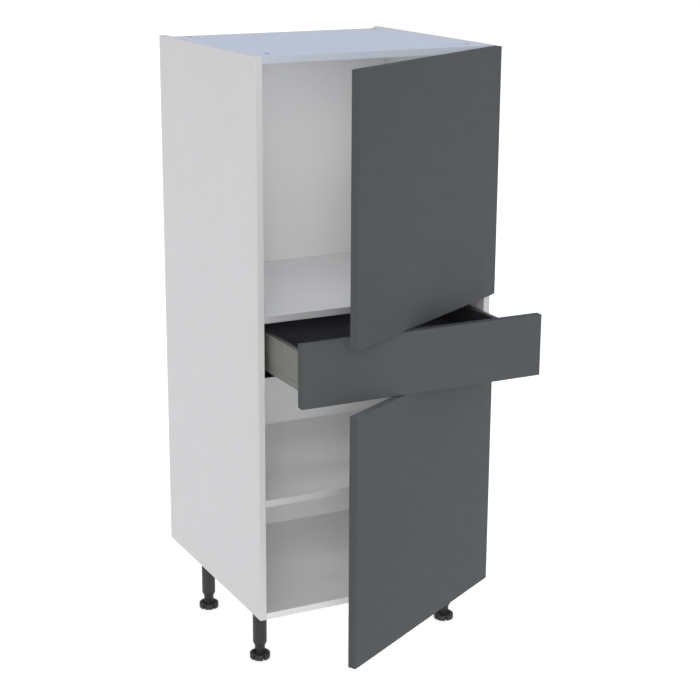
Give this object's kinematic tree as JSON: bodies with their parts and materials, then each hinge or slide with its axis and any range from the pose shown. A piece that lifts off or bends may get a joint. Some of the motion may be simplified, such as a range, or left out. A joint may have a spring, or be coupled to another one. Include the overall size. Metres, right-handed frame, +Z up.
{
  "type": "pantry cabinet",
  "caption": "Tall pantry cabinet on adjustable legs, with handleless slab doors above and below a metal-sided drawer, and shelves inside.",
  "frame": {"origin": "on the floor, in the middle of the cabinet's width and of the whole object's depth as stored (doors 30 degrees open, drawer 200 mm out), 127 mm behind the front edges of the carcass", "axes": "+Z up; +Y from the front to the back; +X to the right seen from the front"},
  "size_m": [0.6022, 0.8855, 1.447],
  "materials": {
    "white_board": "white melamine-faced board with a fine matt grain and matching edging",
    "back_board": "white melamine-faced thin board",
    "grey_front": "dark grey matt slab front, smooth, same colour on the edges",
    "drawer_dark": "anthracite melamine-faced board",
    "side_metal": "satin grey powder-coated steel drawer side",
    "runner_black": "black coated steel runner",
    "steel": "bright zinc or nickel plated steel",
    "cam_metal": "zinc die-cast cam",
    "black_plastic": "moulded black plastic with a fine satin grain"
  },
  "bodies": {
    "carcass": {"side_panel_left": "white_board", "side_panel_right": "white_board", "top_panel": "white_board", "bottom_panel": "white_board", "fixed_shelf": "white_board", "adjustable_shelf": "white_board", "back_panel": "back_board", "shelf_pin_front_left": "steel", "shelf_pin_front_right": "steel", "shelf_pin_rear_left": "steel", "shelf_pin_rear_right": "steel", "top_cam_front_left": "cam_metal", "top_cam_front_right": "cam_metal", "top_cam_rear_left": "cam_metal", "top_cam_rear_right": "cam_metal", "leg_socket_front_left": "black_plastic", "leg_socket_front_right": "black_plastic", "leg_socket_rear_left": "black_plastic", "leg_socket_rear_right": "black_plastic", "leg_tube_front_left": "black_plastic", "leg_tube_front_right": "black_plastic", "leg_tube_rear_left": "black_plastic", "leg_tube_rear_right": "black_plastic", "hinge_arm_lower_bottom": "steel", "hinge_arm_lower_top": "steel", "hinge_arm_upper_bottom": "steel", "hinge_arm_upper_top": "steel", "hinge_plate_lower_bottom": "steel", "hinge_plate_lower_top": "steel", "hinge_plate_upper_bottom": "steel", "hinge_plate_upper_top": "steel", "runner_cabinet_left": "runner_black", "runner_cabinet_right": "runner_black"},
    "drawer": {"drawer_front": "grey_front", "drawer_bottom": "drawer_dark", "drawer_back": "drawer_dark", "drawer_side_left": "side_metal", "drawer_side_right": "side_metal", "drawer_bracket_left": "steel", "drawer_bracket_right": "steel", "runner_drawer_left": "steel", "runner_drawer_right": "steel"},
    "runner_middle": {"runner_middle_left": "steel", "runner_middle_right": "steel"},
    "upper_door": {"upper_door": "grey_front", "hinge_cup_upper_bottom": "steel", "hinge_cup_upper_top": "steel"},
    "upper_hinge_links": {"hinge_link_upper_bottom": "steel", "hinge_link_upper_top": "steel"},
    "lower_door": {"lower_door": "grey_front", "hinge_cup_lower_bottom": "steel", "hinge_cup_lower_top": "steel"},
    "lower_hinge_links": {"hinge_link_lower_bottom": "steel", "hinge_link_lower_top": "steel"},
    "foot_front_left": {"leg_foot_front_left": "black_plastic"},
    "foot_front_right": {"leg_foot_front_right": "black_plastic"},
    "foot_rear_left": {"leg_foot_rear_left": "black_plastic"},
    "foot_rear_right": {"leg_foot_rear_right": "black_plastic"}
  },
  "joints": [
    {"name": "upper_door_hinge", "type": "hinge", "parent": "carcass", "child": "upper_door", "pos_m": [0.291, -0.1395, 1.158], "axis": [0, 0, 1], "range_deg": [-30, 80]},
    {"name": "upper_hinge_link_turn", "type": "hinge", "parent": "carcass", "child": "upper_hinge_links", "pos_m": [0.269, -0.1335, 1.158], "axis": [0, 0, 1], "range_deg": [-29, 11]},
    {"name": "lower_door_hinge", "type": "hinge", "parent": "carcass", "child": "lower_door", "pos_m": [0.291, -0.1395, 0.436], "axis": [0, 0, 1], "range_deg": [-30, 80]},
    {"name": "lower_hinge_link_turn", "type": "hinge", "parent": "carcass", "child": "lower_hinge_links", "pos_m": [0.269, -0.1335, 0.436], "axis": [0, 0, 1], "range_deg": [-29, 11]},
    {"name": "drawer_slide", "type": "slide", "parent": "carcass", "child": "drawer", "axis": [0, -1, 0], "range_m": [-0.2, 0.25]},
    {"name": "runner_middle_slide", "type": "slide", "parent": "carcass", "child": "runner_middle", "axis": [0, -1, 0], "range_m": [-0.1, 0.125]},
    {"name": "foot_screw_front_left", "type": "slide", "parent": "carcass", "child": "foot_front_left", "axis": [0, 0, -1], "range_m": [-0.02, 0.015]},
    {"name": "foot_screw_front_right", "type": "slide", "parent": "carcass", "child": "foot_front_right", "axis": [0, 0, -1], "range_m": [-0.02, 0.015]},
    {"name": "foot_screw_rear_left", "type": "slide", "parent": "carcass", "child": "foot_rear_left", "axis": [0, 0, -1], "range_m": [-0.02, 0.015]},
    {"name": "foot_screw_rear_right", "type": "slide", "parent": "carcass", "child": "foot_rear_right", "axis": [0, 0, -1], "range_m": [-0.02, 0.015]}
  ],
  "couplings": [
    {"joint": "upper_hinge_link_turn", "follows": "upper_door_hinge", "ratio": -0.358},
    {"joint": "lower_hinge_link_turn", "follows": "lower_door_hinge", "ratio": -0.358},
    {"joint": "runner_middle_slide", "follows": "drawer_slide", "ratio": 0.5}
  ]
}
